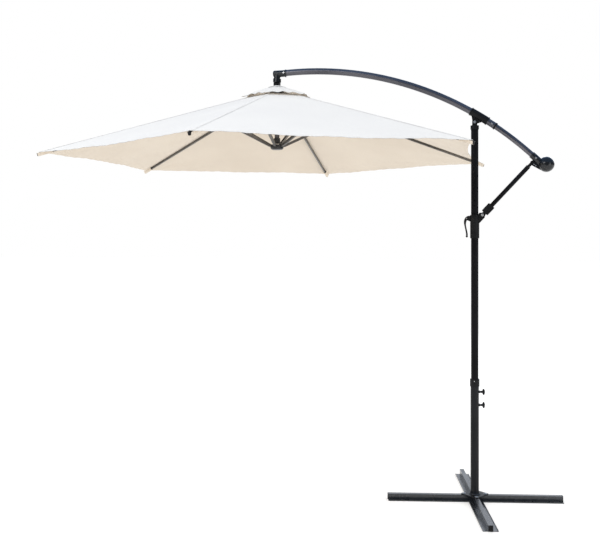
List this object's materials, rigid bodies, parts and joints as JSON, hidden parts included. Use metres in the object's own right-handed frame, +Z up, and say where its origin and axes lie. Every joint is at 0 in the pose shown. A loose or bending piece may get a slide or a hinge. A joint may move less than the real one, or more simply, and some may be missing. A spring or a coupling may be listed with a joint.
{
  "type": "cantilever parasol",
  "caption": "Hanging hexagonal garden parasol on a curved arm, with a crank, a height slider with strut, a swivelling mast and a cross base for slabs.",
  "frame": {"origin": "on the floor under the middle of the cross base, on the mast's axis", "axes": "+Z up along the mast; the arm reaches towards -X, the crank housing is at +X and the crank handle at +Y"},
  "size_m": [2.9164, 2.8234, 2.5532],
  "materials": {
    "dark_steel": "satin powder coat, near black",
    "dark_alloy": "satin dark coating over aluminium",
    "black_plastic": "moulded, slightly grained",
    "gloss_black": "glossy moulded housing",
    "bright_steel": "zinc plated fasteners",
    "canopy_cloth": "cream woven polyester, off-white outside",
    "cord": "braided cord"
  },
  "bodies": {
    "base": {"base_bar_lower": "dark_steel", "base_bar_upper": "dark_steel", "bar_end_plugs": "black_plastic", "base_fasteners": "bright_steel", "lower_mast": "dark_steel", "swivel_seat": "black_plastic", "mast_bushing": "black_plastic", "mast_collar": "black_plastic"},
    "screw_lower": {"hand_screw_lower": "black_plastic"},
    "screw_upper": {"hand_screw_upper": "black_plastic"},
    "mast": {"upper_mast": "dark_steel", "mast_foot": "black_plastic", "mast_head": "black_plastic", "head_pin": "bright_steel"},
    "slider": {"slider_body": "black_plastic", "slider_liners": "black_plastic", "slider_pins": "bright_steel", "lever_spring": "bright_steel"},
    "lever": {"trigger_lever": "black_plastic", "lock_pin": "bright_steel"},
    "strut": {"strut_foot": "black_plastic", "strut_tube": "dark_alloy", "strut_head": "black_plastic"},
    "arm": {"arm_tube_front": "dark_alloy", "arm_tube_rear": "dark_alloy", "arm_coupler": "black_plastic", "saddle": "black_plastic", "crank_housing_near": "gloss_black", "crank_housing_far": "gloss_black", "brake_ring": "black_plastic", "arm_fasteners": "bright_steel", "elbow": "black_plastic", "lift_cord": "cord"},
    "pulley": {"cord_pulley": "black_plastic"},
    "crank": {"spool": "black_plastic", "crank_shaft": "bright_steel"},
    "crank_handle": {"crank_arm": "black_plastic"},
    "knob": {"crank_knob": "black_plastic"},
    "hanger": {"hanger_block": "black_plastic", "hanger_screws": "bright_steel", "canopy_pole": "dark_alloy", "pole_nose": "black_plastic", "top_hub": "black_plastic", "canopy": "canopy_cloth", "vent_cap": "canopy_cloth", "cord_drop": "cord"},
    "runner": {"runner": "black_plastic"},
    "rib_1": {"rib_1": "dark_alloy"},
    "stretcher_1": {"stretcher_1": "dark_alloy"},
    "rib_2": {"rib_2": "dark_alloy"},
    "stretcher_2": {"stretcher_2": "dark_alloy"},
    "rib_3": {"rib_3": "dark_alloy"},
    "stretcher_3": {"stretcher_3": "dark_alloy"},
    "rib_4": {"rib_4": "dark_alloy"},
    "stretcher_4": {"stretcher_4": "dark_alloy"},
    "rib_5": {"rib_5": "dark_alloy"},
    "stretcher_5": {"stretcher_5": "dark_alloy"},
    "rib_6": {"rib_6": "dark_alloy"},
    "stretcher_6": {"stretcher_6": "dark_alloy"}
  },
  "joints": [
    {"name": "mast_swivel", "type": "hinge", "parent": "base", "child": "mast", "pos_m": [0, 0, 0.675], "axis": [0, 0, 1], "continuous": true},
    {"name": "screw_lower_turn", "type": "hinge", "parent": "base", "child": "screw_lower", "pos_m": [0.02937, 0.00613, 0.551], "axis": [0.9789, 0.2045, 0], "continuous": true},
    {"name": "screw_upper_turn", "type": "hinge", "parent": "base", "child": "screw_upper", "pos_m": [0.02937, 0.00613, 0.627], "axis": [0.9789, 0.2045, 0], "continuous": true},
    {"name": "slider_slide", "type": "slide", "parent": "mast", "child": "slider", "axis": [0, 0, 1], "range_m": [0, 0.28]},
    {"name": "trigger_squeeze", "type": "hinge", "parent": "slider", "child": "lever", "pos_m": [-0.046, 0, 1.632], "axis": [0, -1, 0], "range_deg": [0, 5], "stiffness_Nm_per_rad": 1.5, "springref_deg": -5.73},
    {"name": "arm_tilt", "type": "hinge", "parent": "mast", "child": "arm", "pos_m": [0, 0, 2.189], "axis": [0, -1, 0], "range_deg": [0, 28.89]},
    {"name": "strut_swing", "type": "hinge", "parent": "slider", "child": "strut", "pos_m": [0.0445, 0, 1.651], "axis": [0, 1, 0], "range_deg": [0, 17.3]},
    {"name": "canopy_hang", "type": "hinge", "parent": "arm", "child": "hanger", "pos_m": [-1.193, 0, 2.487], "axis": [0, 1, 0], "range_deg": [0, 28.89]},
    {"name": "runner_slide", "type": "slide", "parent": "hanger", "child": "runner", "axis": [0, 0, -1], "range_m": [0, 0.5818], "deforming": ["canopy", "cord_drop"]},
    {"name": "crank_spin", "type": "hinge", "parent": "arm", "child": "crank", "pos_m": [0.398, 0, 1.937], "axis": [0, -1, 0], "range_deg": [0, 1389.95]},
    {"name": "pulley_spin", "type": "hinge", "parent": "arm", "child": "pulley", "pos_m": [-1.183, 0, 2.512], "axis": [0, -1, 0], "range_deg": [0, 2825.97]},
    {"name": "crank_fold", "type": "hinge", "parent": "crank", "child": "crank_handle", "pos_m": [0.398, 0.072, 1.937], "axis": [-1, 0, 0], "range_deg": [0, 90]},
    {"name": "knob_turn", "type": "hinge", "parent": "crank_handle", "child": "knob", "pos_m": [0.398, 0.164, 1.96], "axis": [0, 0, 1], "continuous": true},
    {"name": "rib_1_fold", "type": "hinge", "parent": "hanger", "child": "rib_1", "pos_m": [-1.16355, 0.017, 2.41], "axis": [-0.5, 0.866, 0], "range_deg": [0, 66.22]},
    {"name": "stretcher_1_swing", "type": "hinge", "parent": "runner", "child": "stretcher_1", "pos_m": [-1.16702, 0.015, 2.078], "axis": [0.5, -0.866, 0], "range_deg": [0, 57.67]},
    {"name": "rib_2_fold", "type": "hinge", "parent": "hanger", "child": "rib_2", "pos_m": [-1.193, 0.034, 2.41], "axis": [-1, 0, 0], "range_deg": [0, 66.22]},
    {"name": "stretcher_2_swing", "type": "hinge", "parent": "runner", "child": "stretcher_2", "pos_m": [-1.193, 0.03, 2.078], "axis": [1, 0, 0], "range_deg": [0, 57.67]},
    {"name": "rib_3_fold", "type": "hinge", "parent": "hanger", "child": "rib_3", "pos_m": [-1.22245, 0.017, 2.41], "axis": [-0.5, -0.866, 0], "range_deg": [0, 66.22]},
    {"name": "stretcher_3_swing", "type": "hinge", "parent": "runner", "child": "stretcher_3", "pos_m": [-1.21898, 0.015, 2.078], "axis": [0.5, 0.866, 0], "range_deg": [0, 57.67]},
    {"name": "rib_4_fold", "type": "hinge", "parent": "hanger", "child": "rib_4", "pos_m": [-1.22245, -0.017, 2.41], "axis": [0.5, -0.866, 0], "range_deg": [0, 66.22]},
    {"name": "stretcher_4_swing", "type": "hinge", "parent": "runner", "child": "stretcher_4", "pos_m": [-1.21898, -0.015, 2.078], "axis": [-0.5, 0.866, 0], "range_deg": [0, 57.67]},
    {"name": "rib_5_fold", "type": "hinge", "parent": "hanger", "child": "rib_5", "pos_m": [-1.193, -0.034, 2.41], "axis": [1, 0, 0], "range_deg": [0, 66.22]},
    {"name": "stretcher_5_swing", "type": "hinge", "parent": "runner", "child": "stretcher_5", "pos_m": [-1.193, -0.03, 2.078], "axis": [-1, 0, 0], "range_deg": [0, 57.67]},
    {"name": "rib_6_fold", "type": "hinge", "parent": "hanger", "child": "rib_6", "pos_m": [-1.16355, -0.017, 2.41], "axis": [0.5, 0.866, 0], "range_deg": [0, 66.22]},
    {"name": "stretcher_6_swing", "type": "hinge", "parent": "runner", "child": "stretcher_6", "pos_m": [-1.16702, -0.015, 2.078], "axis": [-0.5, -0.866, 0], "range_deg": [0, 57.67]}
  ],
  "couplings": [
    {"joint": "arm_tilt", "follows": "slider_slide", "rad_per_m": 1.7997},
    {"joint": "strut_swing", "follows": "slider_slide", "rad_per_m": 1.0769},
    {"joint": "canopy_hang", "follows": "slider_slide", "rad_per_m": 1.7997},
    {"joint": "crank_spin", "follows": "runner_slide", "rad_per_m": 41.667},
    {"joint": "pulley_spin", "follows": "runner_slide", "rad_per_m": 84.746},
    {"joint": "rib_1_fold", "follows": "runner_slide", "rad_per_m": 1.9859},
    {"joint": "stretcher_1_swing", "follows": "runner_slide", "rad_per_m": 1.7296},
    {"joint": "rib_2_fold", "follows": "runner_slide", "rad_per_m": 1.9859},
    {"joint": "stretcher_2_swing", "follows": "runner_slide", "rad_per_m": 1.7296},
    {"joint": "rib_3_fold", "follows": "runner_slide", "rad_per_m": 1.9859},
    {"joint": "stretcher_3_swing", "follows": "runner_slide", "rad_per_m": 1.7296},
    {"joint": "rib_4_fold", "follows": "runner_slide", "rad_per_m": 1.9859},
    {"joint": "stretcher_4_swing", "follows": "runner_slide", "rad_per_m": 1.7296},
    {"joint": "rib_5_fold", "follows": "runner_slide", "rad_per_m": 1.9859},
    {"joint": "stretcher_5_swing", "follows": "runner_slide", "rad_per_m": 1.7296},
    {"joint": "rib_6_fold", "follows": "runner_slide", "rad_per_m": 1.9859},
    {"joint": "stretcher_6_swing", "follows": "runner_slide", "rad_per_m": 1.7296}
  ]
}
